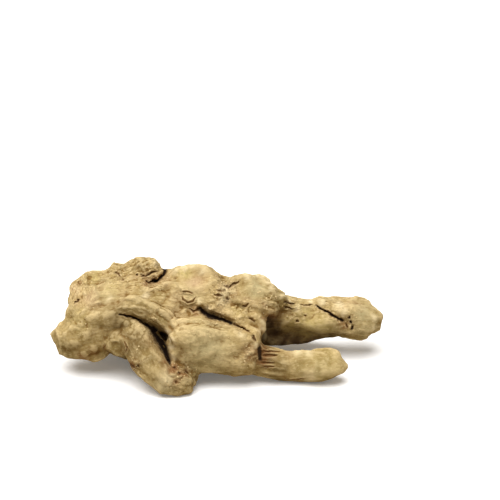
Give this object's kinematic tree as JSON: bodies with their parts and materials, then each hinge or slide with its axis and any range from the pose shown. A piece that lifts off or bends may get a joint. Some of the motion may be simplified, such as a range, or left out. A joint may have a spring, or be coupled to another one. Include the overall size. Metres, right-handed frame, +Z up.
{
  "type": "ginger rhizome",
  "caption": "Dried ginger root: a knobbly, wrinkled rhizome with stubby fingers, folded skin and scars, lying on its low points.",
  "frame": {"origin": "on the table, under the middle of the bounding box", "axes": "+X along the root from the thick end towards the two long fingers, +Y towards its back, +Z up from the table"},
  "size_m": [0.1122, 0.0482, 0.0343],
  "materials": {
    "dried_skin": "dry, matte and wrinkled, like bark"
  },
  "bodies": {
    "root": {"rhizome": "dried_skin"}
  },
  "joints": []
}
